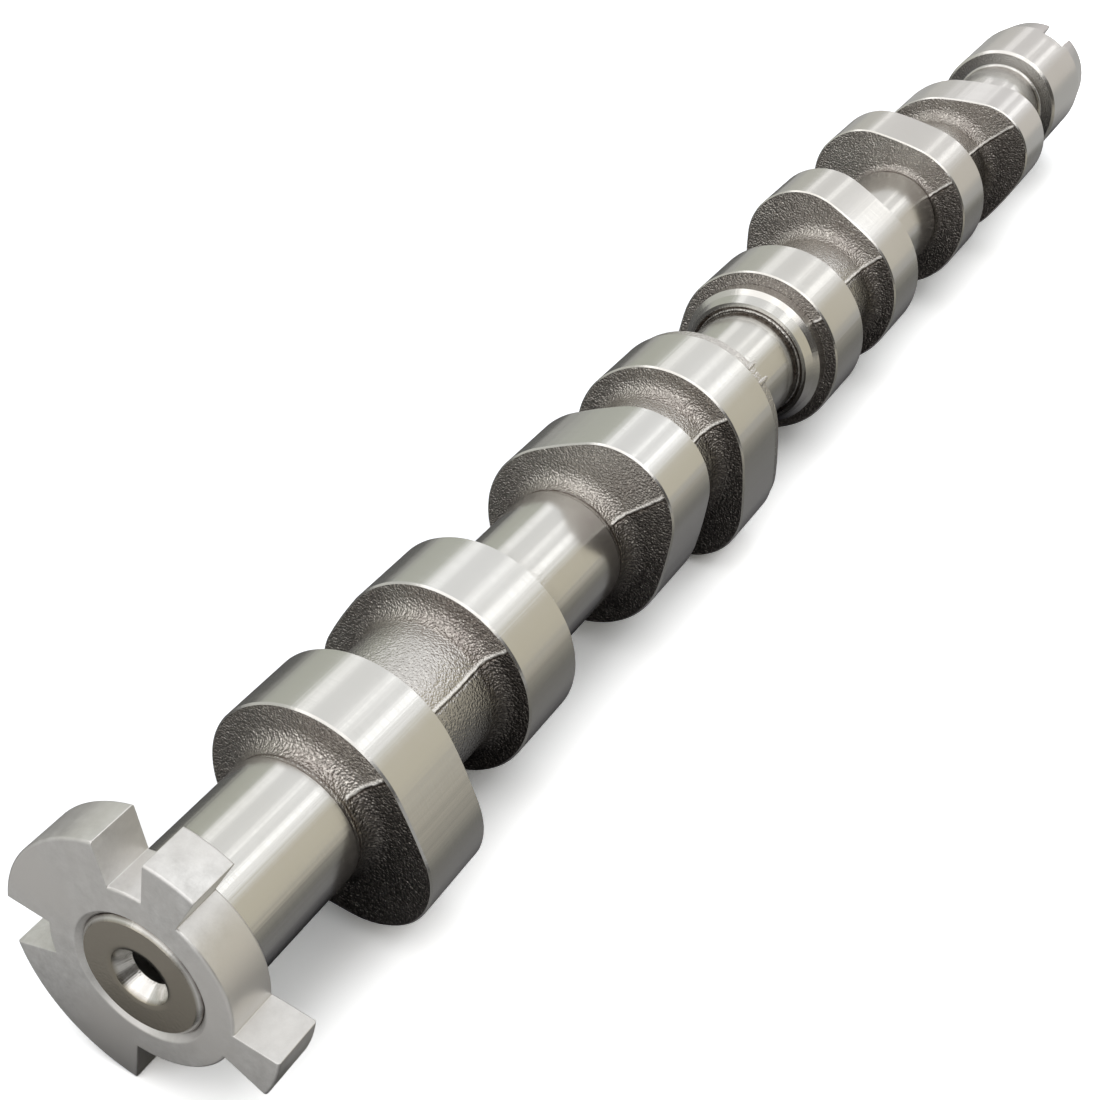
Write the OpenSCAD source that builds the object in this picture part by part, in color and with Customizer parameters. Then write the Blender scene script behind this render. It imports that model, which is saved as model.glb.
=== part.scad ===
// Camshaft of a four-cylinder engine with two valves a cylinder: one chilled-iron casting,
// ground on its journals and lobes, with a sintered trigger wheel pressed on its nose.
// Frame: the shaft's axis is X, from the nose (X = 0) to the slotted end, and Z is up as the
// shaft comes to rest. Angles run clockwise from straight up, seen from the nose end.

/* [Lobes] */
// Diameter of the base circle
base_d = 37.5; // [34:0.5:40]
// How far the nose stands beyond the base circle
lift = 5.6; // [4.5:0.1:6.5]
// Radius of the rounded nose
nose_r = 13.7; // [12:0.1:15]
// Radius of the two flanks between base circle and nose
flank_r = 89; // [70:1:120]
// Width of the ground track of a lobe
lobe_w = 15.5; // [13:0.5:17]
// Distance between the two lobes of one cylinder
lobe_spacing = 35.5; // [33:0.5:38]
// Angle between the two noses of one cylinder
lobe_separation = 111; // [104:1:116]
// Bevel that breaks the edges of a lobe
lobe_edge = 0.35; // [0.2:0.05:0.5]

/* [Cylinders] */
// Distance between neighbouring cylinders
cylinder_pitch = 84; // [82:0.5:88]
// Distance from the nose to the middle of the first cylinder
first_cylinder = 65.3; // [64:0.1:68]
// Angle of the middle of each cylinder's pair of noses, in firing steps of 90 degrees
cylinder_angles = [180, 90, 270, 0];

/* [Shaft] */
// Diameter of the ground journals
journal_d = 24.1; // [22:0.1:26]
// Diameter of the bare casting between the two lobes of a cylinder
cast_d = 26.2; // [25:0.1:28]
// Radius of the cast fillet at the foot of a lobe
fillet_r = 3.3; // [2:0.1:3.8]
// Width of the grinding relief at the end of a journal
relief_w = 1.2; // [0.8:0.1:1.6]
// Depth of the grinding relief below the journal
relief_depth = 0.3; // [0.2:0.05:0.5]
// Width of the unground land behind the fourth lobe
land_w = 2.5; // [1.5:0.1:3]
// Step from the ground track down to that land
land_step = 0.55; // [0.3:0.05:0.8]
// How far two short ridges stand out of that land
land_ridge_h = 0.15; // [0.05:0.05:0.25]
// Angle between the two ridges, of which one lies on the mould's parting line
land_ridge_gap = 12.5; // [10:0.5:16]

/* [Mould parting line] */
// Angle of the parting line, which runs along both sides of the casting
parting_angle = 46.5; // [36:0.5:56]
// How far the parting line stands out of the faces of the lobes
parting_h = 0.35; // [0.25:0.05:0.6]
// How far it stands out of the bare shaft
parting_shaft_h = 0.2; // [0.1:0.05:0.4]
// Width of the parting line
parting_w = 0.7; // [0.5:0.05:1]

/* [Thrust collar] */
// Width of the undercut between the middle journal and the collar
undercut_w = 1.1; // [0.8:0.1:1.4]
// Outer diameter of the thrust face
thrust_d = 28.2; // [27:0.1:29]
// Diameter of the collar's middle step
collar_mid_d = 29.8; // [29:0.1:30.4]
// Outer diameter of the collar's bevel
collar_d = 31.8; // [31:0.1:33]
// Distance from the thrust face to the fifth lobe
collar_w = 6.2; // [5.5:0.1:7]
// Length of the cone behind the thrust face
collar_cone_w = 2.4; // [1.8:0.1:2.8]

/* [Nose] */
// Diameter of the nose that the trigger wheel is pressed on
nose_d = 21; // [19:0.1:22]
// Bevel on the end of the nose
nose_bevel = 0.75; // [0.5:0.05:1]
// Diameter of the mouth of the centre hole
centre_mouth_d = 10; // [9:0.1:11]
// Diameter of the drilled centre hole
centre_hole_d = 6.8; // [5:0.1:7.5]
// Depth of the drilled centre hole
centre_hole_depth = 26; // [18:1:40]

/* [Drive end] */
// Diameter of the drive end
drive_d = 32.8; // [31:0.2:35]
// Distance from the nose to the drive end's near face
drive_start = 376.9; // [376:0.1:380]
// Length of the drive end
drive_w = 33.6; // [30:0.2:38]
// Bevel on the near edge of the drive end
drive_bevel = 0.7; // [0.5:0.1:1.2]
// Step in radius of the taper at the far edge of the drive end
drive_taper = 1.5; // [1:0.1:2]
// Length of that taper
drive_taper_w = 9.5; // [4:0.5:11]
// Radius of the fillet between the last journal and the drive end
drive_fillet = 0.8; // [0.5:0.1:1.4]
// Width of the drive slot
slot_w = 6.8; // [5:0.1:8]
// Depth of the drive slot
slot_depth = 11; // [9:0.2:13]
// Bevel on the mouth of the drive slot
slot_bevel = 1.1; // [0.6:0.1:1.4]
// Angle of the drive slot
slot_angle = 21.5; // [11:0.5:31]
// Diameter of the centre hole in the slot's floor
rear_centre_d = 5; // [4:0.1:6]

/* [Trigger wheel] */
// Thickness of the wheel
wheel_w = 8.75; // [8:0.05:10]
// Diameter of the wheel's hub
hub_d = 32.2; // [31:0.1:34]
// Diameter over the teeth
wheel_d = 47.4; // [45:0.2:50]
// Angle at which the first tooth starts; the others start 90 degrees apart
first_tooth = 5.5; // [0:0.5:10]
// Length of each tooth in degrees, starting with the first tooth
tooth_spans = [21, 21, 68, 69];
// Bevel on the wheel's outer edges
wheel_edge = 0.3; // [0.2:0.05:0.5]
// Bevel on the mouth of the wheel's bore
bore_bevel = 1; // [0.7:0.05:1.3]

/* [Hidden] */
$fn = 96;

base_r = base_d / 2;
journal_r = journal_d / 2;
cast_r = cast_d / 2;
relief_r = journal_r - relief_depth;
shaft_end = drive_start + drive_w;
cone_half_angle = 30;
// A little extra on tools that cut, so that no face of a cut lies on a face of the body
over = 1;
// How much nearer than its radius the centre of a foot's arc is to the lobe's face
foot_lead = 0.1;

// The nose circle's centre lies lobe_reach from the axis. Each flank is an arc that touches
// the base circle at flank_start and the nose circle at flank_end, both measured at the axis
// and at the nose circle's centre from the direction of the nose.
lobe_reach = base_r + lift - nose_r;
flank_centre_r = flank_r - base_r;
flank_start = 180 - acos((pow(lobe_reach, 2) + pow(flank_centre_r, 2) - pow(flank_r - nose_r, 2))
    / (2 * lobe_reach * flank_centre_r));
flank_centre = [-flank_centre_r * cos(flank_start), -flank_centre_r * sin(flank_start)];
flank_end = atan2(-flank_centre[1], lobe_reach - flank_centre[0]);
// The flanks lie this much inside, so that they cross the two circles instead of only touching
flank_sink = 0.001;

function cylinder_x(n) = first_cylinder + n * cylinder_pitch;
function lobe_start(n, second) = cylinder_x(n) + (second - 0.5) * lobe_spacing - lobe_w / 2;
function lobe_angle(n, second) = cylinder_angles[n] + (second - 0.5) * lobe_separation;

// Where each journal starts and ends, from its neighbours
relief_room = fillet_r + relief_w;
thrust_x = lobe_start(2, 0) - collar_w;
journal_starts = [
    wheel_w,
    for (n = [0 : 3]) lobe_start(n, 1) + lobe_w + relief_room + (n == 1 ? land_w : 0)
];
journal_ends = [
    lobe_start(0, 0) - relief_room,
    lobe_start(1, 0) - relief_room,
    thrust_x,
    lobe_start(3, 0) - relief_room + fillet_r / 2,
    drive_start
];

// Draws in the Y-Z plane and carries it along +X
module along_x(x) {
    translate([x, 0, 0]) rotate([90, 0, 90]) children();
}

// A rectangle of the revolved profile: from x1 to x2 along the axis, out to radius r
module run(x1, x2, r) {
    translate([0, x1]) square([r, x2 - x1]);
}

// The concave foot of a lobe: r is the shaft's radius, face is where the lobe starts, and
// side is -1 before the lobe and 1 behind it. The arc meets the face at a slight angle, and
// the foot's body reaches into the lobe.
module foot(r, face, side, radius = fillet_r) {
    rise = radius - foot_lead;
    difference() {
        translate([0, side < 0 ? face - rise : face - over]) square([r + radius, rise + over]);
        translate([r + radius, face + side * rise]) circle(radius);
    }
}

// Half section of the casting and all that is turned or ground round the axis
module shaft_profile() {
    // Nose with its bevel, up to the first journal's shoulder
    polygon([[0, 0], [nose_d / 2 - nose_bevel, 0], [nose_d / 2, nose_bevel],
        [nose_d / 2, wheel_w], [0, wheel_w]]);
    // Ground journals
    for (n = [0 : 4]) run(journal_starts[n], journal_ends[n], journal_r);
    // Bare casting and relief grooves, with a foot on both sides of each lobe
    for (n = [0 : 3]) {
        front = lobe_start(n, 0);
        back = lobe_start(n, 1) + lobe_w + (n == 1 ? land_w : 0);
        run(front, back, cast_r);
        foot(cast_r, lobe_start(n, 0) + lobe_w, 1);
        foot(cast_r, lobe_start(n, 1), -1);
        run(back, journal_starts[n + 1], relief_r);
        foot(relief_r, back, 1);
        if (n != 2) {
            run(journal_ends[n], front, relief_r);
            foot(relief_r, front, -1, n == 3 ? fillet_r / 2 : fillet_r);
        }
    }
    thrust_collar_profile();
    drive_end_profile();
}

// Undercut, thrust face, cone, bevel and outer ring between the middle journal and lobe five
module thrust_collar_profile() {
    cone_x = thrust_x + collar_cone_w;
    bevel_x = cone_x + (collar_d - collar_mid_d) / 2;
    difference() {
        polygon([[0, thrust_x], [thrust_d / 2, thrust_x], [collar_mid_d / 2, cone_x],
            [collar_d / 2, bevel_x], [collar_d / 2, thrust_x + collar_w + over],
            [0, thrust_x + collar_w + over]]);
        translate([journal_r + undercut_w / 2, thrust_x]) circle(undercut_w / 2);
    }
}

// Fillet behind the last journal, then the drive end with its bevel and its far taper
module drive_end_profile() {
    r = drive_d / 2;
    foot(journal_r, drive_start, -1, drive_fillet);
    polygon([[0, drive_start], [r - drive_bevel, drive_start], [r, drive_start + drive_bevel],
        [r, shaft_end - drive_taper_w], [r - drive_taper, shaft_end], [0, shaft_end]]);
}

// Outline of a lobe with its nose along +x: base circle, nose circle and, between the chords
// where they touch, the two flanks, each a true arc. grow moves the outline outwards.
module lobe_outline(grow = 0) {
    chord_1 = (base_r + grow) * cos(flank_start);
    chord_2 = lobe_reach + (nose_r + grow) * cos(flank_end);
    circle(base_r + grow, $fn = 180);
    intersection() {
        translate(flank_centre) circle(flank_r + grow - flank_sink, $fn = 720);
        mirror([0, 1]) translate(flank_centre) circle(flank_r + grow - flank_sink, $fn = 720);
        translate([chord_1, -base_d]) square([chord_2 - chord_1, 2 * base_d]);
    }
    translate([lobe_reach, 0]) circle(nose_r + grow, $fn = 180);
}

// One lobe: the ground track between two thin bands a little smaller, which break its edges
module lobe(x, angle, extra = 0) {
    along_x(x) rotate(90 + angle) {
        linear_extrude(lobe_w) lobe_outline(-lobe_edge);
        translate([0, 0, lobe_edge]) linear_extrude(lobe_w - 2 * lobe_edge) lobe_outline();
        if (extra > 0)
            translate([0, 0, lobe_w - over]) linear_extrude(extra + over) lobe_outline(-land_step);
    }
}

module lobes() {
    for (n = [0 : 3], second = [0, 1])
        lobe(lobe_start(n, second), lobe_angle(n, second), n == 1 && second == 1 ? land_w : 0);
}

// The line that the two halves of the mould leave on both sides of the casting. It climbs the
// foot and the face of a lobe: x is the face and side is -1 in front of it, 1 behind it.
module parting_rib(x, side, shaft_r, radius) {
    rise = radius - foot_lead;
    // Radial half section: up the face, over the foot and down to the shaft
    along_x(x) rotate(parting_angle) rotate([90, 0, 90])
        translate([0, 0, -parting_w / 2]) linear_extrude(parting_w)
            for (half = [0, 1]) mirror([half, 0]) {
                translate([0, side < 0 ? -parting_h : -over])
                    square([base_r + lift, parting_h + over]);
                difference() {
                    translate([0, side < 0 ? -rise : -over])
                        square([shaft_r + radius, rise + over]);
                    translate([shaft_r + radius, side * rise]) circle(radius - parting_h);
                }
            }
}

module parting_line() {
    for (n = [0 : 3], second = [0, 1]) {
        x = lobe_start(n, second);
        angle = lobe_angle(n, second);
        // Trimmed to the outline of the lobe, a little inside its edge
        intersection() {
            along_x(x - 2 * fillet_r) rotate(90 + angle)
                linear_extrude(lobe_w + 4 * fillet_r) lobe_outline(-2 * lobe_edge);
            union() {
                if (n != 2 || second != 0)
                    parting_rib(x, -1, second == 1 ? cast_r : relief_r,
                        n == 3 && second == 0 ? fillet_r / 2 : fillet_r);
                if (n != 1 || second != 1)
                    parting_rib(x + lobe_w, 1, second == 0 ? cast_r : relief_r,
                        fillet_r);
            }
        }
    }
    // Along the bare shaft between the lobes of each cylinder
    for (n = [0 : 3])
        along_x(lobe_start(n, 0) + lobe_w) rotate(parting_angle)
            translate([-parting_w / 2, -cast_r - parting_shaft_h, 0])
                cube([parting_w, cast_d + 2 * parting_shaft_h, lobe_spacing - lobe_w]);
}

// Two short ridges that the mould left on the land behind the fourth lobe
module land_ridges() {
    for (k = [0, 1])
        along_x(lobe_start(1, 1) + lobe_w - over) rotate(parting_angle - k * land_ridge_gap)
            translate([-parting_w / 2, 0, 0])
                cube([parting_w, base_r - land_step + land_ridge_h, over + land_w * 0.7]);
}

// Centre hole: a cone for the grinder's centre, then the drilled hole
module centre_hole(mouth_d, hole_d, depth) {
    cone_w = (mouth_d - hole_d) / 2 / tan(cone_half_angle);
    translate([0, 0, -over]) cylinder(d = hole_d, h = depth + over);
    cylinder(d1 = mouth_d, d2 = hole_d, h = cone_w);
    translate([0, 0, -over]) cylinder(d = mouth_d, h = over);
}

// Section of the drive slot, from its floor up to its bevelled mouth
module slot_section() {
    w = slot_w / 2;
    polygon([[-w, 0], [w, 0], [w, slot_depth - slot_bevel],
        [w + slot_bevel + over, slot_depth + over], [-w - slot_bevel - over, slot_depth + over],
        [-w, slot_depth - slot_bevel]]);
}

module camshaft() {
    color([0.42, 0.39, 0.37]) difference() {
        union() {
            along_x(0) rotate_extrude() shaft_profile();
            lobes();
            parting_line();
            land_ridges();
        }
        along_x(0) centre_hole(centre_mouth_d, centre_hole_d, centre_hole_depth);
        // Drive slot across the far end, with the rear centre in its floor
        along_x(shaft_end - slot_depth) rotate(slot_angle) rotate([90, 0, 0])
            translate([0, 0, -drive_d]) linear_extrude(2 * drive_d) slot_section();
        translate([shaft_end - slot_depth, 0, 0]) rotate([0, -90, 0])
            centre_hole(rear_centre_d, rear_centre_d / 2, rear_centre_d * 1.6);
    }
}

// A disc from the axis out to radius r, with both its edges bevelled
module wheel_disc(r) {
    rotate_extrude($fn = 180) polygon([[0, 0], [r - wheel_edge, 0], [r, wheel_edge],
        [r, wheel_w - wheel_edge], [r - wheel_edge, wheel_w], [0, wheel_w]]);
}

// A tooth from angle start over span degrees, clockwise seen from the nose end
module tooth(start, span) {
    reach = wheel_d;
    intersection() {
        wheel_disc(wheel_d / 2);
        rotate(start) translate([0, 0, -over]) linear_extrude(wheel_w + 2 * over)
            polygon([[0, 0], for (k = [0 : 4]) reach * [-sin(span * k / 4), cos(span * k / 4)]]);
    }
}

module trigger_wheel() {
    color([0.66, 0.66, 0.65]) along_x(0) difference() {
        union() {
            wheel_disc(hub_d / 2);
            for (k = [0 : 3]) tooth(first_tooth + 90 * k, tooth_spans[k]);
        }
        translate([0, 0, -over]) cylinder(d = nose_d, h = wheel_w + 2 * over);
        cylinder(r1 = nose_d / 2 + bore_bevel, r2 = nose_d / 2, h = bore_bevel);
    }
}

camshaft();
trigger_wheel();
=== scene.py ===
"""A cast and ground camshaft on a white studio floor.

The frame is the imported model's: the shaft's axis is X, from the nose (0) to the slotted end, and
Z is up. Lengths are millimetres, which MM turns into Blender's metres; only the materials, the
lamps and the ramps over the floor are written in metres. Angles run clockwise from straight up,
seen from the nose end.
"""
import math
from itertools import product

import bmesh
import bpy
import numpy as np
from mathutils import Matrix, Vector


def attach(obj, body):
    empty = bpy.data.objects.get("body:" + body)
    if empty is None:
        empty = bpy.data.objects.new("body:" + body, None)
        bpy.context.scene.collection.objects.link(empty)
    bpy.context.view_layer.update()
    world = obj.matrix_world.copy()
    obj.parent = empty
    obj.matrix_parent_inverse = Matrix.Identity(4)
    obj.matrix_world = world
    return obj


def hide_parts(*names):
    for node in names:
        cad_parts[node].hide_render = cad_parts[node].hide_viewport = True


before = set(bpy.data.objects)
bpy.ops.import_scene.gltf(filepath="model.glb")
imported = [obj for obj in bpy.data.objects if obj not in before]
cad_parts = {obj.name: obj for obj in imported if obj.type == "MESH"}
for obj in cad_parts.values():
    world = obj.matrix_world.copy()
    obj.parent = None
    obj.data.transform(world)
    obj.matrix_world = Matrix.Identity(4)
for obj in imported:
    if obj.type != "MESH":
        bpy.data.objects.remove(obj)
scene = bpy.context.scene
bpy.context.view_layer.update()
MM = 0.001

# ---------------------------------------------------------------- sizes, as in the part's source
BASE_R, LIFT, NOSE_R, FLANK_R = 18.75, 5.6, 13.7, 89.0
LOBE_W, LOBE_SPACING, SEPARATION, EDGE = 15.5, 35.5, 111.0, 0.35
PITCH, FIRST = 84.0, 65.3
CYLINDER_ANGLES = (180.0, 90.0, 270.0, 0.0)
JOURNAL_R, CAST_R, RELIEF_R = 12.05, 13.1, 11.75
FOOT, RELIEF_W = 3.3, 1.2
PARTING = 46.5
LAND_W, LAND_STEP = 2.5, 0.55
RIDGE_GAP, RIDGE_W, RIDGE_H, RIDGE_REACH = 12.5, 0.7, 0.15, 1.75
RIDGES = (PARTING, PARTING - RIDGE_GAP)
UNDERCUT_R, COLLAR_W, CONE_W, COLLAR_BEVEL = 0.55, 6.2, 2.4, 1.0
THRUST_R, CONE_R, COLLAR_R = 14.1, 14.9, 15.9
NOSE_D, NOSE_BEVEL, WHEEL_W = 21.0, 0.75, 8.75
CENTRE_R, CENTRE_MOUTH_R, CENTRE_DEPTH, DRILL_TIP = 3.4, 5.0, 26.0, 1.0
CENTRE_CONE = math.radians(30)
DRIVE_START, DRIVE_W, DRIVE_R = 376.9, 33.6, 16.4
DRIVE_END = DRIVE_START + DRIVE_W
DRIVE_FILLET, DRIVE_BEVEL = 0.8, 0.7
SLOT_W, SLOT_DEPTH, SLOT_BEVEL, SLOT_ANGLE = 6.8, 11.0, 1.1, 21.5
REAR_CENTRE_D = 5.0
# The drive end's taper: its length, how far the radius falls before the broken edge and after
# it, and that edge's length
TAPER_W, TAPER_STEP, END_STEP, END_EDGE = 9.5, 1.45, 1.8, 0.3
# Lobes that differ, by cylinder and place in the pair: the unground land is behind one, the
# thrust collar in front of one, and one has a shorter foot
LAND_LOBE, COLLAR_LOBE, SHORT_FOOT_LOBE = (1, 1), (2, 0), (3, 0)

# ---------------------------------------------------------------- what the script adds to them
SHOULDER = 0.3  # length of the slope from a relief up to its journal
SEAM = 0.03  # how far beside a cast face the ground metal starts
CORNER = 0.3  # how far the painted shade spreads over the collar from its corner with the lobe
# Station behind the thrust face and radius of the undercut's lip
UNDERCUT_LIP = ((0.3, 13.15), (0.0, 13.2))
# Station and radius of the broken edge round the mouth of the nose's centre hole
CENTRE_MOUTH = ((0.12, 4.93), (0.0, 5.05))
JOURNAL_CHAMFER = 0.2  # at the first journal's edge, behind the wheel

# Columns of the turned grid: even steps round the shaft, and closer ones across the two mould
# lines and the second ridge on the land
COLUMN_STEP, FINE_STEPS = 1.5, 0.6 * np.arange(-7, 8)
FINE = (PARTING, PARTING + 180, PARTING - RIDGE_GAP)
ANGLES = np.radians(np.unique(np.round(np.concatenate(
    [np.arange(0, 360, COLUMN_STEP)] + [a + FINE_STEPS for a in FINE]) % 360, 2)))
COLUMNS = len(ANGLES)

# Depth of the cast skin, then wavelengths and number of the waves that make it
SKIN_DEPTH = 0.03
PEBBLES, LUMPS = ((1.3, 2.4), 80), ((5, 12), 24)
# The same for how the parting line wanders, shakes and frays, each with its seed
WANDER, SHAKE, FRAY = ((9, 20), 12, 5), ((1, 3), 20, 7), ((1.2, 3.5), 30, 6)
# How far the parting line stands out on the near and the far side, and its half width
NEAR_LINE_H, FAR_LINE_H, LINE_SPREAD = 0.28, 0.34, 0.24
# Size, number round the shaft and start of the waves that grinding left
GRINDING_WAVES = ((0.005, 17, 0.3), (0.004, 29, 0.7), (0.003, 43, 2.0), (0.0022, 61, 1.1))
# How far metal is ground, from 0 as cast to 1: the bare run between two lobes, reliefs and the
# land, the collar's outer ring, slopes and holes, the drive end's near face and its fillet, and
# the nose's face. Metal below the limit has the cast skin
BARE_RUN, DULL, COLLAR_RING, TURNED, DRIVE_FACE, DRIVE_CORNER = 0.5, 0.6, 0.7, 0.8, 0.75, 0.9
NOSE_FACE, SKIN_LIMIT = 0.93, 0.55
# Starts of the random draws for the skin of the two halves
FRONT_SEED, REAR_SEED = 11, 21
# Length along the profile that fills the turned map once
MAP_LENGTH = 400.0


def lobe_start(cylinder, second):
    """Station of a lobe's near face. second is 0 or 1, for the first or second of a pair."""
    return FIRST + cylinder * PITCH + (second - 0.5) * LOBE_SPACING - LOBE_W / 2


def lobe_angle(cylinder, second):
    """Angle of a lobe's nose, in degrees."""
    return CYLINDER_ANGLES[cylinder] + (second - 0.5) * SEPARATION


# The shaft's two pieces meet inside the middle journal
HALVES_MEET = lobe_start(*COLLAR_LOBE) - COLLAR_W - 3.0


def lobe_radius(angle, nose_angle):
    """Radius of a lobe at an angle: the base circle, then the far crossing of the ray from the
    axis with the flank's circle, then with the nose's circle, mirrored about the nose."""
    psi = np.abs((angle - nose_angle + math.pi) % (2 * math.pi) - math.pi)
    reach = BASE_R + LIFT - NOSE_R
    far = FLANK_R - BASE_R
    start = math.pi - math.acos((reach**2 + far**2 - (FLANK_R - NOSE_R) ** 2) / (2 * reach * far))
    fx, fy = -far * math.cos(start), -far * math.sin(start)
    end = math.atan2(-fy, reach - fx)
    turn = math.atan2(NOSE_R * math.sin(end), reach + NOSE_R * math.cos(end))
    along = fx * np.cos(psi) + fy * np.sin(psi)
    flank = along + np.sqrt(along**2 - far**2 + FLANK_R**2)
    nose = reach * np.cos(psi) + np.sqrt(np.maximum(NOSE_R**2 - (reach * np.sin(psi)) ** 2, 0))
    return np.where(psi > start, BASE_R, np.where(psi > turn, flank, nose))


# ---------------------------------------------------------------- the profile that is turned
class Profile:
    """Rings along a path. Each ring has a station x and a radius for every column, how far its
    metal is ground (1) or as cast (0), how dark its corner is painted as shade, and how brown the
    metal has turned."""

    def __init__(self):
        self.x, self.r, self.ground, self.oil, self.tarnish = [], [], [], [], []
        self.sharp = set()

    def ring(self, x, r, ground=1.0, oil=0.0):
        self.x.append(np.broadcast_to(np.asarray(x, float), (COLUMNS,)))
        self.r.append(np.broadcast_to(np.asarray(r, float), (COLUMNS,)))
        self.ground.append(ground)
        self.oil.append(oil)
        self.tarnish.append(0.0)

    def crease(self):
        """The last ring becomes a sharp edge."""
        self.sharp.add(len(self.x) - 1)

    def turn_brown(self, count):
        """The metal at the last rings becomes brown."""
        self.tarnish[-count:] = [1.0] * count

    def line(self, x, r, count, ground=1.0, oil=0.0):
        """Rings evenly spaced from the last one to station x and radius r, where the painted shade
        is.
        """
        x0, r0 = self.x[-1], self.r[-1]
        for n in range(1, count + 1):
            t = n / count
            self.ring(x0 + (x - x0) * t, r0 + (r - r0) * t, ground, oil if n == count else 0.0)

    def arc(self, cx, cr, radius, a0, a1, count, ground=0.0, oil=0.0):
        """Rings on a circle about (cx, cr) from angle a0, where the last ring already lies, to a1,
        where the painted shade is. Angles are measured from +x to +r."""
        for a in np.radians(np.linspace(a0, a1, count + 1))[1:]:
            self.ring(cx + radius * math.cos(a), cr + radius * math.sin(a), ground)
        self.oil[-1] = oil


def build_shaft(p, cylinders):
    """Adds the run of two cylinders: relief, foot, lobe, bare casting, lobe, foot and relief."""
    for n, second in product(cylinders, (0, 1)):
        x = lobe_start(n, second)
        rim = lobe_radius(ANGLES, math.radians(lobe_angle(n, second)))
        face = rim - EDGE
        if (n, second) == COLLAR_LOBE:
            thrust_ring(p, x)
        else:
            front_r = CAST_R if second else RELIEF_R
            foot = FOOT / 2 if (n, second) == SHORT_FOOT_LOBE else FOOT
            if not second:
                p.line(x - foot - RELIEF_W, JOURNAL_R, 5)
                p.crease()
                # Painted shade darkens the relief's corners
                p.line(x - foot - RELIEF_W + SHOULDER, RELIEF_R, 1, TURNED, oil=0.25)
                p.line(x - foot, RELIEF_R, 2, DULL, oil=0.9)
            p.arc(x - foot, front_r + foot, foot, -90, 0, 10)
        p.line(x, face, 14, 0.0)
        p.crease()
        p.line(x + SEAM, face + SEAM, 1)
        # The ground track between its two broken edges
        p.line(x + EDGE, rim, 1)
        p.crease()
        p.line(x + LOBE_W - EDGE, rim, 4)
        p.crease()
        p.line(x + LOBE_W - SEAM, face + SEAM, 1)
        p.crease()
        p.line(x + LOBE_W, face, 1, 0.0)
        if (n, second) == LAND_LOBE:
            ridge = ridges()
            land = rim - LAND_STEP + RIDGE_H * ridge
            # Painted shade in the corner between the lobe and the land
            p.line(x + LOBE_W, land, 1, DULL, oil=0.5)
            p.crease()
            p.line(x + LOBE_W + LAND_W + RIDGE_REACH * ridge, land, 5, DULL)
            p.crease()
            x += LAND_W
        back_r = RELIEF_R if second else CAST_R
        p.line(x + LOBE_W, back_r + FOOT, 14, 0.0)
        p.arc(x + LOBE_W + FOOT, back_r + FOOT, FOOT, 180, 270, 10)
        if second:
            # Painted shade in the relief's corner
            p.line(x + LOBE_W + FOOT + RELIEF_W - SHOULDER, RELIEF_R, 2, DULL, oil=0.5)
            p.line(x + LOBE_W + FOOT + RELIEF_W, JOURNAL_R, 1, TURNED)
            p.crease()
        else:
            p.line(lobe_start(n, 1) - FOOT, CAST_R, 26, BARE_RUN)


def ridges():
    """One on the columns of the two small ridges on the land, falling to nothing beside them."""
    off = [np.abs((np.degrees(ANGLES) - a + 180) % 360 - 180) for a in RIDGES]
    half = math.degrees(RIDGE_W / 2 / BASE_R)
    beside, fall = 0.5, 0.6  # degrees
    return np.clip((half + beside - np.minimum(*off)) / fall, 0, 1)


def thrust_ring(p, lobe_x):
    """Undercut, thrust face, cone, bevel and outer ring in front of lobe five."""
    x = lobe_x - COLLAR_W
    # Painted shade darkens the undercut and the collar's corner with the lobe
    p.line(x, JOURNAL_R, 5, oil=0.6)
    p.crease()
    p.arc(x, JOURNAL_R + UNDERCUT_R, UNDERCUT_R, 270, 360, 5, DULL, oil=1.0)
    (inner_x, inner_r), (lip_x, lip_r) = UNDERCUT_LIP
    p.line(x + inner_x, inner_r, 1, DULL, oil=0.8)
    p.line(x + lip_x, lip_r, 1, DULL)
    p.crease()
    p.line(x, THRUST_R, 2)
    p.crease()
    p.line(x + CONE_W, CONE_R, 3)
    p.crease()
    p.line(x + (CONE_W + COLLAR_BEVEL), COLLAR_R, 2)
    p.crease()
    p.line(lobe_x - CORNER, COLLAR_R, 4, COLLAR_RING)
    p.line(lobe_x, COLLAR_R, 1, COLLAR_RING, oil=0.8)
    p.crease()


def front_half():
    """From the bottom of the nose's centre hole to the middle journal."""
    p = Profile()
    cone = (CENTRE_MOUTH_R - CENTRE_R) / math.tan(CENTRE_CONE)
    p.ring(CENTRE_DEPTH, 0.01, TURNED)
    p.line(CENTRE_DEPTH - DRILL_TIP, CENTRE_R, 2, TURNED)
    p.crease()
    p.line(cone, CENTRE_R, 4, TURNED)
    p.crease()
    (edge_x, edge_r), (mouth_x, mouth_r) = CENTRE_MOUTH
    p.line(edge_x, edge_r, 4)
    p.line(mouth_x, mouth_r, 1)
    p.line(0.0, NOSE_D / 2 - NOSE_BEVEL, 6, NOSE_FACE)
    p.crease()
    # The face's six rings and the two at the hole's edge
    p.turn_brown(8)
    # Painted shade in the gap between the nose and the wheel
    p.line(NOSE_BEVEL, NOSE_D / 2, 2, oil=0.9)
    p.crease()
    p.line(WHEEL_W, NOSE_D / 2, 2)
    p.crease()
    p.line(WHEEL_W, JOURNAL_R - JOURNAL_CHAMFER, 1)
    p.line(WHEEL_W + JOURNAL_CHAMFER, JOURNAL_R, 1)
    p.crease()
    build_shaft(p, (0, 1))
    p.line(HALVES_MEET, JOURNAL_R, 5)
    return p


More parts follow.
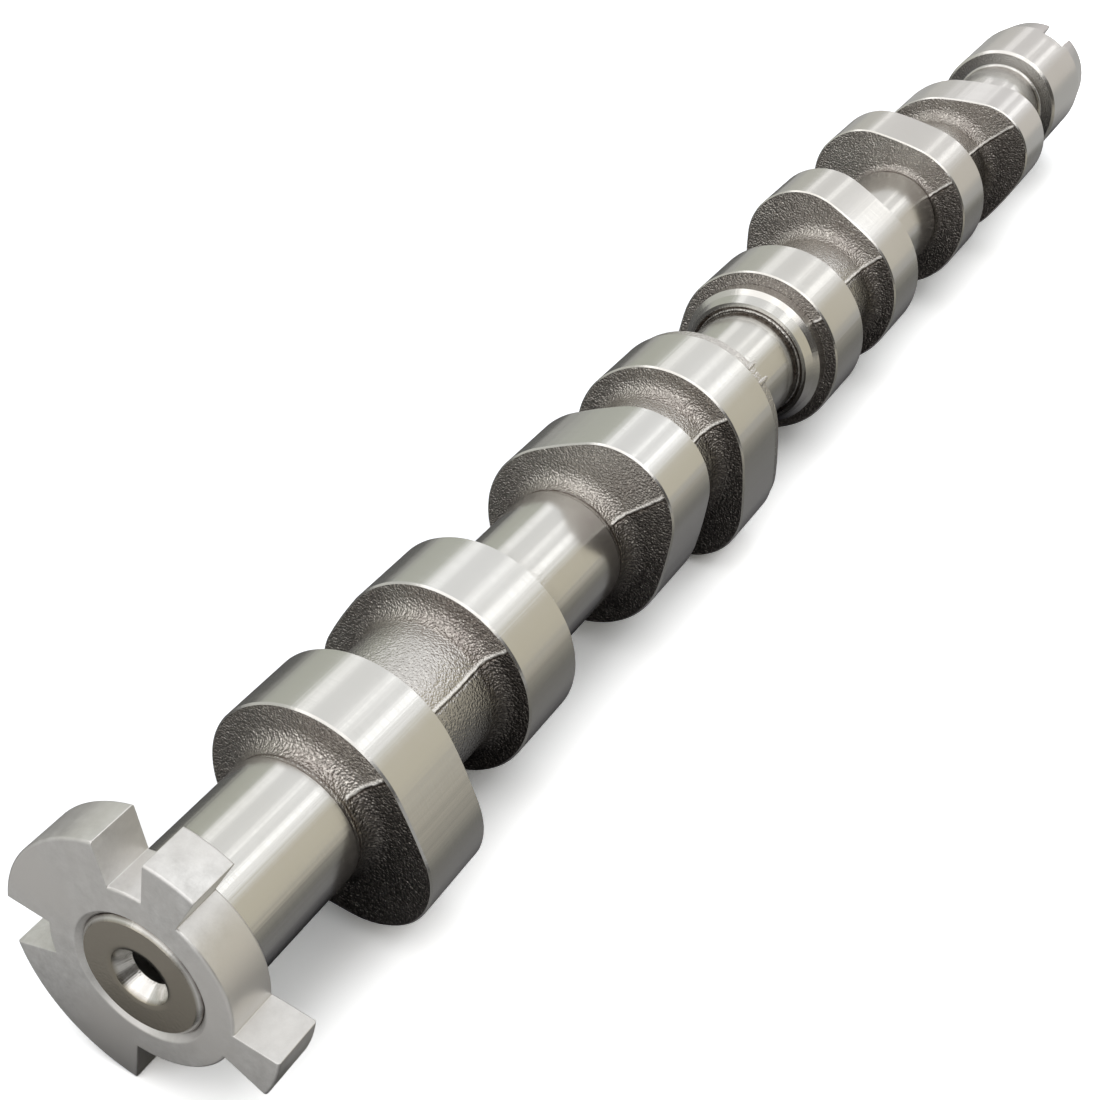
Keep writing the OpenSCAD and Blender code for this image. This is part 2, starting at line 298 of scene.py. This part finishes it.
def rear_half():
    """From the middle journal to the middle of the far end's face."""
    p = Profile()
    p.ring(HALVES_MEET, JOURNAL_R)
    build_shaft(p, (2, 3))
    # Painted shade in the corner in front of the drive end
    p.line(DRIVE_START - DRIVE_FILLET, JOURNAL_R, 6, oil=0.7)
    p.arc(DRIVE_START - DRIVE_FILLET, JOURNAL_R + DRIVE_FILLET, DRIVE_FILLET, -90, 0, 5,
          DRIVE_CORNER)
    p.line(DRIVE_START, DRIVE_R - DRIVE_BEVEL, 4, DRIVE_FACE)
    p.crease()
    p.line(DRIVE_START + DRIVE_BEVEL, DRIVE_R, 2)
    p.crease()
    p.line(DRIVE_END - TAPER_W, DRIVE_R, 4)
    p.crease()
    p.line(DRIVE_END - END_EDGE, DRIVE_R - TAPER_STEP, 4)
    p.crease()
    p.line(DRIVE_END, DRIVE_R - END_STEP, 1)
    p.crease()
    p.line(DRIVE_END, 0.02, 6)
    return p


# ---------------------------------------------------------------- the turned surface
def ripple(points, wavelengths, count, seed):
    """A random field: the sum of plane cosine waves with random directions and phases, scaled
    to a spread of one."""
    rng = np.random.default_rng(seed)
    total = np.zeros(points.shape[:-1])
    for _ in range(count):
        k = rng.normal(size=3)
        k *= 2 * math.pi / (np.linalg.norm(k) * rng.uniform(*wavelengths))
        total += np.cos(points @ k + rng.uniform(0, 2 * math.pi))
    return total / math.sqrt(count / 2)


def bell(offset, middle, spread):
    """A bell curve across the parting line, one high."""
    return np.exp(-(((offset - middle) / spread) ** 2))


def to_points(x, r):
    """Station and radius to X, Y, Z. An angle runs from +Z towards -Y."""
    return np.stack([x, -r * np.sin(ANGLES), r * np.cos(ANGLES)], axis=-1)


def normals_of(points):
    """Cross product of the steps along and round the grid, pointing out of the metal."""
    along = np.gradient(points, axis=0)
    round_it = (np.roll(points, -1, axis=1) - np.roll(points, 1, axis=1)) / 2
    n = np.cross(round_it, along)
    return n / np.maximum(np.linalg.norm(n, axis=-1, keepdims=True), 1e-12)


def parting_offset(points):
    """Distance from the mould's parting plane, which holds the axis, less how far the line
    wanders from it. It is positive on the upper side."""
    a = math.radians(PARTING)
    across = points[..., 1] * math.cos(a) + points[..., 2] * math.sin(a)
    return across - 0.10 * ripple(points, *WANDER) - 0.05 * ripple(points, *SHAKE)


def parting_height(points, offset):
    """How far the parting line stands out: a narrow bell across it, ragged along it, higher on
    the far side of the shaft, with a shallow furrow along its lower edge."""
    a = math.radians(PARTING)
    far = points[..., 2] * math.cos(a) < points[..., 1] * math.sin(a)
    ragged = np.clip(1 + 0.4 * ripple(points, *FRAY), 0.3, 1.8)
    furrow = 0.12 * bell(offset, -0.5, 0.25)
    return np.where(far, FAR_LINE_H, NEAR_LINE_H) * ragged * bell(offset, 0, LINE_SPREAD) - furrow


def surface(profile, seed):
    """The turned surface with its cast skin: pebbles and the parting line stand along the
    normal where the metal isn't ground, and grinding waves of a few micrometres where it is.
    Also gives every point's values: ground; painted shade in corners and as a shadow along the
    parting line; tarnish; a painted highlight on the parting line's crest; and painted shade over
    the mould's lower half."""
    points = to_points(np.array(profile.x), np.array(profile.r))
    steps = np.array(profile.ground)
    columns = np.ones(COLUMNS)
    ground = steps[:, None] * columns
    n = normals_of(points)
    # A ring beside a machined one has no skin
    skinned = steps < SKIN_LIMIT
    cast = (skinned & np.roll(skinned, 1) & np.roll(skinned, -1))[:, None] * columns
    pebbles = ripple(points, *PEBBLES, seed)
    lumps = ripple(points, *LUMPS, seed + 1)
    offset = parting_offset(points)
    skin = SKIN_DEPTH * (0.35 * pebbles + 0.7 * lumps) + parting_height(points, offset)
    waves = sum(size * np.sin(count * ANGLES + start) for size, count, start in GRINDING_WAVES)
    height = cast * skin + ground * waves * (1 - np.abs(n[..., 0]))
    return points + n * height[..., None], {
        "ground": ground,
        # Painted shade in the corners, and a painted shadow along the parting line's lower edge
        "oil": np.array(profile.oil)[:, None] + cast * 0.8 * bell(offset, -0.42, 0.2),
        # A painted highlight on the parting line's crest
        "crest_highlight": cast * bell(offset, 0.1, 0.28),
        "tarnish": np.array(profile.tarnish)[:, None] * columns,
        # Painted shade over the mould's lower half
        "lower": np.clip(0.5 - offset / 0.8, 0, 1)}


# ---------------------------------------------------------------- meshes
def put(name, data):
    """An object in the scene."""
    thing = bpy.data.objects.new(name, data)
    scene.collection.objects.link(thing)
    return thing


def read(items, name, width=1, kind=np.int64):
    """One property of every item, as an array."""
    values = np.empty(len(items) * width, kind)
    items.foreach_get(name, values)
    return values.reshape(-1, width) if width > 1 else values


def turned_map(mesh, points):
    """A map that runs round the shaft in u and along the profile in v, so that grinding lines
    follow u."""
    rings, columns = points.shape[:2]
    loops = read(mesh.loops, "vertex_index")
    u = (ANGLES / (2 * math.pi))[np.minimum(loops, rings * columns - 1) % columns]
    totals, starts = read(mesh.polygons, "loop_total"), read(mesh.polygons, "loop_start")
    face_of = np.repeat(np.arange(len(totals)), totals)
    wraps = (np.maximum.reduceat(u, starts) - np.minimum.reduceat(u, starts)) > 0.5
    u = np.where(wraps[face_of] & (u < 0.5), u + 1, u)
    steps = np.linalg.norm(np.diff(points, axis=0), axis=-1).mean(axis=1)
    length = np.append(np.cumsum(np.append(0, steps)), 0)
    v = length[np.minimum(loops // columns, rings)] / MAP_LENGTH
    mesh.uv_layers.new(name="turned").data.foreach_set(
        "uv", np.stack([u, v], axis=-1).astype(np.float32).ravel())


def grid_mesh(name, points, values, sharp):
    """Joins the rings of a grid with quads and closes both ends with a fan about the axis."""
    rings, columns = points.shape[:2]
    verts = points.reshape(-1, 3)
    i = np.arange(rings - 1)[:, None] * columns
    j = np.arange(columns)
    k = (j + 1) % columns
    quads = np.stack([i + j, i + k, i + columns + k, i + columns + j], axis=-1).reshape(-1, 4)
    faces = [tuple(q) for q in quads[:, ::-1].tolist()]
    verts = np.vstack([verts, [points[0].mean(0)], [points[-1].mean(0)]])
    first, last = len(verts) - 2, len(verts) - 1
    base = (rings - 1) * columns
    faces += [(first, int(a), int(b)) for a, b in zip(j, k)]
    faces += [(last, int(base + b), int(base + a)) for a, b in zip(j, k)]
    mesh = bpy.data.meshes.new(name)
    mesh.from_pydata((verts * MM).tolist(), [], faces)
    mesh.update()
    for label, field in values.items():
        mesh.attributes.new(label, "FLOAT", "POINT").data.foreach_set(
            "value", np.append(field.ravel(), [field[0, 0], field[-1, 0]]).astype(np.float32))
    mesh.polygons.foreach_set("use_smooth", np.ones(len(mesh.polygons), bool))
    ends = read(mesh.edges, "vertices", 2)
    ring_of = ends // columns
    hard = (ring_of[:, 0] == ring_of[:, 1]) & np.isin(ring_of[:, 0], list(sharp) + [0, rings - 1])
    hard &= ends.max(axis=1) < rings * columns
    mesh.attributes.new("sharp_edge", "BOOLEAN", "EDGE").data.foreach_set("value", hard)
    turned_map(mesh, points)
    return put(name, mesh)


# ---------------------------------------------------------------- materials
class Tree:
    """Builds the nodes of a material or a world. A source is a node and one of its outputs."""

    def __init__(self, owner):
        owner.use_nodes = True
        self.nodes, self.links = owner.node_tree.nodes, owner.node_tree.links
        self.nodes.clear()
        self.coords = self.add("TexCoord")

    def add(self, kind, **settings):
        """A node with these inputs or properties."""
        node = self.nodes.new("ShaderNode" + kind)
        for key, value in settings.items():
            if key in node.inputs:
                node.inputs[key].default_value = value
            else:
                setattr(node, key, value)
        return node

    def feed(self, node, values):
        """Sets a node's inputs, by index or name, to sources, colours or numbers."""
        for socket, value in values.items():
            if not isinstance(value, tuple):
                node.inputs[socket].default_value = value
            elif isinstance(value[0], bpy.types.Node):
                self.links.new(value[0].outputs[value[1]], node.inputs[socket])
            else:
                node.inputs[socket].default_value = (*value, 1.0)

    def mix(self, factor, a, b):
        """A colour between a and b."""
        node = self.add("Mix", data_type="RGBA")
        self.feed(node, {0: factor, 6: a, 7: b})
        return node, 2

    def blend(self, factor, a, b):
        """A number between a and b."""
        node = self.add("Mix", data_type="FLOAT")
        self.feed(node, {0: factor, 2: a, 3: b})
        return node, 0

    def ramp(self, source, low, high, to_low=0.0, to_high=1.0, smooth=False):
        """Takes the source from the range low to high to another one, and holds it beyond."""
        node = self.add("MapRange")
        if smooth:
            node.interpolation_type = "SMOOTHSTEP"
        self.feed(node, dict(enumerate((source, low, high, to_low, to_high))))
        return node, 0

    def maths(self, operation, *values):
        """The operation's result for sources and numbers."""
        node = self.add("Math", operation=operation)
        self.feed(node, dict(enumerate(values)))
        return node, 0

    def noise(self, scale, detail=2.0, stretch=(1, 1, 1), roughness=0.5, space="Object"):
        """Noise in the piece's own space in metres, or with space UV in its map."""
        mapping = self.add("Mapping", Scale=stretch)
        self.feed(mapping, {"Vector": (self.coords, space)})
        node = self.add("TexNoise", Scale=scale, Detail=detail, Roughness=roughness)
        self.feed(node, {"Vector": (mapping, "Vector")})
        return node, "Fac"

    def value(self, name):
        """One of the mesh's values."""
        return self.add("Attribute", attribute_name=name), "Fac"

    def axes(self, space="Object"):
        """The place on the piece, or with space Generated the direction, as X, Y and Z."""
        node = self.add("SeparateXYZ")
        self.feed(node, {0: (self.coords, space)})
        return (node, "X"), (node, "Y"), (node, "Z")

    def bump(self, height, strength, distance, **under):
        """A bump with its distance in metres, on top of another one where Normal is given."""
        node = self.add("Bump", Strength=strength, Distance=distance)
        self.feed(node, {"Height": height, **under})
        return node, "Normal"

    def principled(self, values, **settings):
        """Ends a material in a Principled shader."""
        shader = self.add("BsdfPrincipled", **settings)
        self.feed(shader, values)
        self.feed(self.add("OutputMaterial"), {"Surface": (shader, "BSDF")})

    def by_camera(self, other, seen, output):
        """Ends in the shader seen for the camera's own rays and in the other one for the rest."""
        choose = self.add("MixShader")
        self.feed(choose, {0: (self.add("LightPath"), "Is Camera Ray"), 1: (other, 0),
                           2: (seen, 0)})
        self.feed(self.add(output), {"Surface": (choose, 0)})


# Pairs are the two ends of a tone that wanders
UPPER_SKIN, UPPER_GRAIN = ((0.39, 0.355, 0.335), (0.50, 0.475, 0.445)), (0.78, 0.75, 0.70)
# Painted shade: a darker copy of the skin and its grains for the mould's lower half
SHADED_LOWER_SKIN, SHADED_LOWER_GRAIN = (0.17, 0.155, 0.145), (0.52, 0.49, 0.45)
BRIGHT_METAL = ((0.71, 0.70, 0.67), (0.75, 0.745, 0.73))
# The second tone is painted shade for corners and creases, the third a painted highlight for the
# parting line's crest
BROWN_METAL, PAINTED_SHADE_TONE, CREST_HIGHLIGHT_TONE = (0.36, 0.33, 0.275), (0.075, 0.045, 0.028), (0.98, 0.965, 0.93)


def shaft_material():
    """Cast skin and ground steel in one material, chosen by the mesh's ground value."""
    material = bpy.data.materials.new("chilled_iron")
    t = Tree(material)
    ground, lower, tarnish, oil, crest_highlight = [
        t.value(name) for name in ("ground", "lower", "tarnish", "oil", "crest_highlight")]

    # Grey-brown casting with paler grains; the mould's lower half gets a darker copy as painted
    # shade
    stain = t.noise(70, 4)
    grain = t.noise(1900)
    upper = t.mix(t.ramp(stain, 0.35, 0.65), *UPPER_SKIN)
    upper = t.mix(t.ramp(grain, 0.5, 0.75), upper, UPPER_GRAIN)
    cast = t.mix(lower, upper, t.mix(t.ramp(grain, 0.5, 0.8), SHADED_LOWER_SKIN, SHADED_LOWER_GRAIN))
    # Bright metal where it is ground, with painted shade in its corners and along the parting
    # line's lower edge
    bright = t.mix(t.ramp(t.noise(25), 0.35, 0.65), *BRIGHT_METAL)
    metal = t.mix(ground, cast, t.mix(tarnish, bright, BROWN_METAL))
    shade_cover = t.maths("MULTIPLY", oil, t.ramp(t.noise(500), 0.3, 0.6, 0.7, 1.0))
    # A painted highlight on the parting line's crest: pale and dull
    colour = t.mix(crest_highlight, t.mix(shade_cover, metal, PAINTED_SHADE_TONE), CREST_HIGHLIGHT_TONE)

    # Lines that run round the shaft, from the grinding wheel
    lines = t.noise(1.0, 3, (5200, 60, 60))
    rough = t.blend(ground, t.ramp(grain, 0.3, 0.7, 0.38, 0.26),
                    t.ramp(lines, 0.3, 0.7, 0.16, 0.24))

    # Sand grains of about 0.4 mm with finer ones between them
    pebble = t.add("TexVoronoi", feature="SMOOTH_F1", Scale=2500.0, Smoothness=0.5)
    t.feed(pebble, {"Vector": (t.coords, "Object")})
    sand = t.maths("MULTIPLY_ADD", (pebble, "Distance"), -2.4,
                   t.ramp(t.noise(4200), 0, 1, 0, 0.7))
    sand = t.maths("MULTIPLY", sand, t.maths("SUBTRACT", 1.0, ground))
    normal = t.bump(sand, 0.9, 0.00011)
    normal = t.bump(t.maths("MULTIPLY", lines, ground), 0.25, 0.00001, Normal=normal)
    # Faint streaks along the shaft, where the ground surface isn't quite round
    streaks = t.noise(1.0, 2, (130, 3, 1), space="UV")
    normal = t.bump(t.maths("MULTIPLY", streaks, ground), 1.0, 0.00002, Normal=normal)

    tangent = t.add("Tangent", direction_type="UV_MAP", uv_map="turned")
    t.principled({"Base Color": colour, "Roughness": rough, "Normal": normal,
                  "Metallic": t.ramp(crest_highlight, 0, 1, 1, 0), "Tangent": (tangent, "Tangent"),
                  "Anisotropic": t.ramp(ground, 0.4, 0.9, 0, 0.55)})
    return material


def wheel_material():
    """Sintered steel: a matte, finely pitted grey with a faint mottling, part bare metal and
    part its thin grey oxide."""
    material = bpy.data.materials.new("sintered_steel")
    t = Tree(material)
    mottle = t.noise(420, 4, roughness=0.7)
    tone = t.mix(t.ramp(mottle, 0.3, 0.7), (0.62, 0.615, 0.605), (0.85, 0.85, 0.845))
    tone = t.mix(t.ramp(t.noise(45, 3), 0.35, 0.65), tone, (0.75, 0.735, 0.715))
    t.principled({"Base Color": tone, "Roughness": t.ramp(mottle, 0.3, 0.7, 0.30, 0.40),
                  "Normal": t.bump(t.noise(2600), 0.35, 0.00004)}, Metallic=0.7)
    return material


# ---------------------------------------------------------------- the shaft's pieces
def dress(piece, material, slot, *nodes):
    """Gives a piece its material, puts it on a body and hides the imported nodes that it replaces.
    """
    piece.data.materials.clear()
    piece.data.materials.append(material)
    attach(piece, "root")
    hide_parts(*nodes)


front, rear = front_half(), rear_half()
shaft_front = grid_mesh("camshaft_front", *surface(front, FRONT_SEED), front.sharp)
shaft_rear = grid_mesh("camshaft_rear", *surface(rear, REAR_SEED), rear.sharp)


def cutter_piece(name, verts, faces):
    """A closed solid that is cut out of another, from points in millimetres."""
    mesh = bpy.data.meshes.new(name)
    mesh.from_pydata((np.asarray(verts) * MM).tolist(), [], faces)
    bm = bmesh.new()
    bm.from_mesh(mesh)
    bmesh.ops.recalc_face_normals(bm, faces=bm.faces)
    bm.to_mesh(mesh)
    bm.free()
    return put(name, mesh)


def slot_cutter():
    """A prism across the far end: the slot's section, with its bevelled mouth."""
    past, half_length = 1.0, 30.0
    w, floor, mouth = SLOT_W / 2, DRIVE_END - SLOT_DEPTH, DRIVE_END - SLOT_BEVEL
    wide, top = w + SLOT_BEVEL + past, DRIVE_END + past
    section = np.array([(-w, floor), (w, floor), (w, mouth), (wide, top), (-wide, top),
                        (-w, mouth)])
    a = math.radians(SLOT_ANGLE)
    along = half_length * np.array([0, -math.sin(a), math.cos(a)])
    across = np.array([0, math.cos(a), math.sin(a)])
    flat = section[:, :1] * across + section[:, 1:] * np.array([1, 0, 0])
    count = len(section)
    faces = [tuple(range(count)), tuple(range(2 * count - 1, count - 1, -1))]
    faces += [(i, i + count, (i + 1) % count + count, (i + 1) % count) for i in range(count)]
    return cutter_piece("slot_cutter", np.vstack([flat - along, flat + along]), faces)


def rear_centre_cutter():
    """A centre drill's shape, turned about the axis: rings of points from the hole's bottom
    through its cone to above the slot's floor."""
    sides, floor, r = 64, DRIVE_END - SLOT_DEPTH, REAR_CENTRE_D / 2
    cone = (r - r / 2) / math.tan(CENTRE_CONE)
    a = np.arange(sides) * 2 * math.pi / sides
    rings = [(floor - REAR_CENTRE_D * 1.6, r / 2), (floor - cone, r / 2), (floor, r),
             (floor + 0.5, r)]
    verts = np.vstack([np.stack([np.full(sides, x), q * np.cos(a), q * np.sin(a)], axis=1)
                       for x, q in rings])
    faces = [tuple(range(sides)), tuple(range(len(verts) - 1, len(verts) - 1 - sides, -1))]
    for k in range(0, len(verts) - sides, sides):
        faces += [(k + i, k + sides + i, k + sides + (i + 1) % sides, k + (i + 1) % sides)
                  for i in range(sides)]
    return cutter_piece("rear_centre_cutter", verts, faces)


def cut(piece, cutter):
    """Cuts the cutter out of the piece for good and removes the cutter. The new faces are
    machined metal, and their map goes round the axis and out from it."""
    modifier = piece.modifiers.new("cut", "BOOLEAN")
    modifier.operation, modifier.solver, modifier.object = "DIFFERENCE", "EXACT", cutter
    graph = bpy.context.evaluated_depsgraph_get()
    mesh = bpy.data.meshes.new_from_object(piece.evaluated_get(graph))
    piece.modifiers.clear()
    mesh.name = piece.data.name
    piece.data = mesh
    bpy.data.objects.remove(cutter)
    x, y, z = read(mesh.vertices, "co", 3, float).T
    loops = read(mesh.loops, "vertex_index")
    layer = mesh.uv_layers["turned"].data
    uv = read(layer, "uv", 2, float)
    blank = np.abs(uv).max(axis=1) == 0
    u = np.arctan2(-y, z) / (2 * math.pi) + 2
    v = (x + np.hypot(y, z)) / (MAP_LENGTH * MM)
    uv[blank] = np.stack([u, v], axis=1)[loops[blank]]
    layer.foreach_set("uv", uv.ravel())
    values = mesh.attributes["ground"].data
    ground = read(values, "value", kind=float)
    ground[loops[blank]] = np.maximum(ground[loops[blank]], TURNED)
    values.foreach_set("value", ground)


cut(shaft_rear, slot_cutter())
cut(shaft_rear, rear_centre_cutter())
IRON = shaft_material()
for piece in (shaft_front, shaft_rear):
    dress(piece, IRON, "cast_iron", "camshaft")

# ---------------------------------------------------------------- the trigger wheel
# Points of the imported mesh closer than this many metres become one
WELD = 1e-6
# Angles in degrees between two of its faces: up to the first they are one plane, up to the
# second their edge is smooth, and above the third it is worn by so many millimetres
ONE_PLANE, SMOOTH, WORN, WEAR = 0.5, 20, 28, 0.13


def wheel_piece():
    """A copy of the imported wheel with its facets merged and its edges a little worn."""
    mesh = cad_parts["trigger_wheel"].data.copy()
    bm = bmesh.new()
    bm.from_mesh(mesh)
    bmesh.ops.remove_doubles(bm, verts=bm.verts, dist=WELD)
    bmesh.ops.dissolve_limit(
        bm, angle_limit=math.radians(ONE_PLANE), verts=bm.verts, edges=bm.edges)
    for face in bm.faces:
        face.smooth = True
    for edge in bm.edges:
        edge.smooth = edge.calc_face_angle(0) < math.radians(SMOOTH)
    bm.to_mesh(mesh)
    bm.free()
    wheel = put("trigger_wheel_dressed", mesh)
    worn = wheel.modifiers.new("worn_edges", "BEVEL")
    worn.width, worn.segments, worn.limit_method = WEAR * MM, 2, "ANGLE"
    worn.angle_limit = math.radians(WORN)
    dress(wheel, wheel_material(), "sintered_steel", "trigger_wheel")


wheel_piece()

# ---------------------------------------------------------------- studio
scene.view_settings.view_transform = "Standard"

# The room round the shaft, by clock angle: where a zone starts, how soft that edge is, its light
# towards the far end and its light towards the nose's end
LOW = (0.10, 0.10, 0.10)
ZONES = ((-93, 4, (0.50, 0.51, 0.45), (0.62, 0.62, 0.58)),
         (-49, 5, (0.86, 0.86, 0.85), (1.30, 1.27, 1.24)),
         (45, 5, (0.60, 0.56, 0.455), (0.07, 0.065, 0.06)), (98, 8, LOW, LOW))
# The walls beyond the far end and before the nose: between which X of a direction each comes in,
# and its light
END_WALLS = ((0.82, 0.97, (0.68, 0.645, 0.64)), (-0.72, -0.92, (0.60, 0.60, 0.59)))


def room():
    """A room that is white to the camera. Its light comes from a pale ceiling, a cool wall on the
    far side and a warm one on the near side, all of them long and parallel to the shaft."""
    world = bpy.data.worlds.new("studio")
    scene.world = world
    t = Tree(world)
    x, y, z = t.axes("Generated")
    clock = t.maths("ARCTAN2", t.maths("MULTIPLY", y, -1.0), z)
    light = LOW
    nose_end = t.ramp(x, 0.3, -0.3)
    for edge, soft, level, nose_level in ZONES:
        here = t.ramp(clock, math.radians(edge - soft), math.radians(edge + soft), smooth=True)
        light = t.mix(here, light, t.mix(nose_end, level, nose_level))
    for start, full, level in END_WALLS:
        light = t.mix(t.ramp(x, start, full), light, level)
    lit = t.add("Background", Strength=1.0)
    t.feed(lit, {"Color": light})
    seen = t.add("Background", Color=(1, 1, 1, 1), Strength=1.0)
    t.by_camera(lit, seen, "OutputWorld")


# The floor's height and half its side, and how far from the axis its tones run
FLOOR_Z, FLOOR_HALF, TONES_REACH = -23.65, 6.0, 300
# Painted shade and light on the floor that the metal mirrors: darkest under the shaft, with a
# light band on the near side
# What the metal mirrors of the floor: millimetres from the axis towards the far side, and tone
FLOOR_TONES = ((-290, (0.53, 0.50, 0.43)), (-110, (0.30, 0.29, 0.26)), (-55, (0.17, 0.17, 0.16)),
               (-28, (0.25, 0.25, 0.255)), (-18, (0.14, 0.14, 0.15)), (-9, (0.02, 0.02, 0.024)),
               (4, (0.02, 0.02, 0.024)), (20, (0.10, 0.10, 0.10)), (50, (0.10, 0.10, 0.10)),
               (100, (0.12, 0.12, 0.12)), (280, (0.14, 0.14, 0.135)))
# Its painted shadow under the wheel and its tone beyond the shaft's two ends, and between which X
# these come in
WHEEL_SHADE, OPEN_FLOOR = (0.03, 0.03, 0.033), (0.43, 0.43, 0.43)
UNDER_WHEEL, BEFORE_NOSE, BEYOND_END = (0.014, 0.010), (0.0, -0.014), (0.425, 0.465)
# The paper that the camera sees, away from the shaft and under it, where a painted shadow darkens
# it. The second comes in between these Y on the near side, and these X at the nose and at the far
# end
PAPER, SHADED_PAPER = (1.84, 1.87, 1.92), (1.25, 1.28, 1.33)
SHADED_SIDE, SHADED_NOSE, SHADED_END = (-0.023, -0.004), (-0.01, 0.02), (0.47, 0.43)


def floor_piece():
    """A paper floor. The camera sees it white apart from the shadow on it, which a painted shadow
    deepens near the shaft. The metal mirrors it as a grey that is warm on the near side, with
    painted shade under the shaft and the wheel."""
    mesh = bpy.data.meshes.new("floor")
    s, z = FLOOR_HALF, FLOOR_Z * MM
    mesh.from_pydata([(-s, -s, z), (s, -s, z), (s, s, z), (-s, s, z)], [], [(0, 1, 2, 3)])
    floor = put("floor", mesh)
    material = bpy.data.materials.new("floor_paper")
    t = Tree(material)
    x, y, _ = t.axes()
    tones = t.add("ValToRGB")
    t.feed(tones, {"Fac": t.ramp(y, -TONES_REACH * MM, TONES_REACH * MM)})
    stops = tones.color_ramp.elements
    for across, tone in FLOOR_TONES:
        stops.new((across + TONES_REACH) / (2 * TONES_REACH)).color = (*tone, 1)
    stops.remove(stops[0])
    stops.remove(stops[-1])
    # Beyond the shaft's two ends the floor has no painted shade
    mirrored = t.mix(t.ramp(x, *UNDER_WHEEL), (tones, "Color"), WHEEL_SHADE)
    beyond = t.maths("MAXIMUM", t.ramp(x, *BEFORE_NOSE), t.ramp(x, *BEYOND_END))
    dim = t.add("BsdfDiffuse")
    t.feed(dim, {"Color": t.mix(beyond, mirrored, OPEN_FLOOR)})
    # Painted shadow: between the shaft's ends the paper is darker, from close to its near side
    # onwards
    shaded = t.maths("MULTIPLY", t.ramp(y, *SHADED_SIDE, smooth=True), t.ramp(x, *SHADED_NOSE))
    shaded = t.maths("MULTIPLY", shaded, t.ramp(x, *SHADED_END))
    paper = t.add("BsdfDiffuse")
    t.feed(paper, {"Color": t.mix(shaded, PAPER, SHADED_PAPER)})
    t.by_camera(dim, paper, "OutputMaterial")
    mesh.materials.append(material)


room()
floor_piece()


def place(thing, where, right, up, back):
    """Puts a lamp or the camera somewhere, with its own three axes."""
    turn = Matrix((right, up, back)).transposed().to_4x4()
    thing.matrix_world = Matrix.Translation(where) @ turn


# The lamps' length and distance from the axis, and the point on it that their middles face
LAMP_LENGTH, LAMP_DISTANCE, LAMP_MIDDLE = 5.0, 0.9, Vector((0.4, 0, 0))


def strip(name, side_angle, spread, level):
    """A long soft lamp parallel to the shaft at a clock angle. spread is half the angle that it
    fills and level its brightness."""
    a = math.radians(side_angle)
    out, along = Vector((0, -math.sin(a), math.cos(a))), Vector((1, 0, 0))
    width = 2 * LAMP_DISTANCE * math.tan(math.radians(spread))
    data = bpy.data.lights.new(name, "AREA")
    data.shape, data.size, data.size_y = "RECTANGLE", LAMP_LENGTH, width
    data.energy = level * math.pi * LAMP_LENGTH * width
    place(put(name, data), LAMP_MIDDLE + out * LAMP_DISTANCE, along, out.cross(along), out)


strip("far_strip", -41, 5, 0.45)
strip("top_strip", 2, 3.5, 0.7)
strip("near_strip", 27, 4.5, 0.9)
strip("edge_strip", 37.5, 0.8, 0.5)

# The photo's camera, as fitted: its focal length and width in pixels, its place and its axes
FOCAL_PIXELS, PHOTO_PIXELS, SENSOR = 1801.2, 1100, 36.0
CAMERA_PLACE = Vector((-120.8, -116.3, 198.9)) * MM
RIGHT = Vector((0.49072, -0.86816, 0.07402))
DOWN = Vector((-0.49331, -0.34685, -0.79770))
AHEAD = Vector((0.71821, 0.35494, -0.59848))
camera_data = bpy.data.cameras.new("camera")
camera_data.sensor_width = SENSOR
camera_data.lens = SENSOR * FOCAL_PIXELS / PHOTO_PIXELS
camera_data.clip_start = 0.01
scene.camera = put("camera", camera_data)
place(scene.camera, CAMERA_PLACE, RIGHT, -DOWN, -AHEAD)
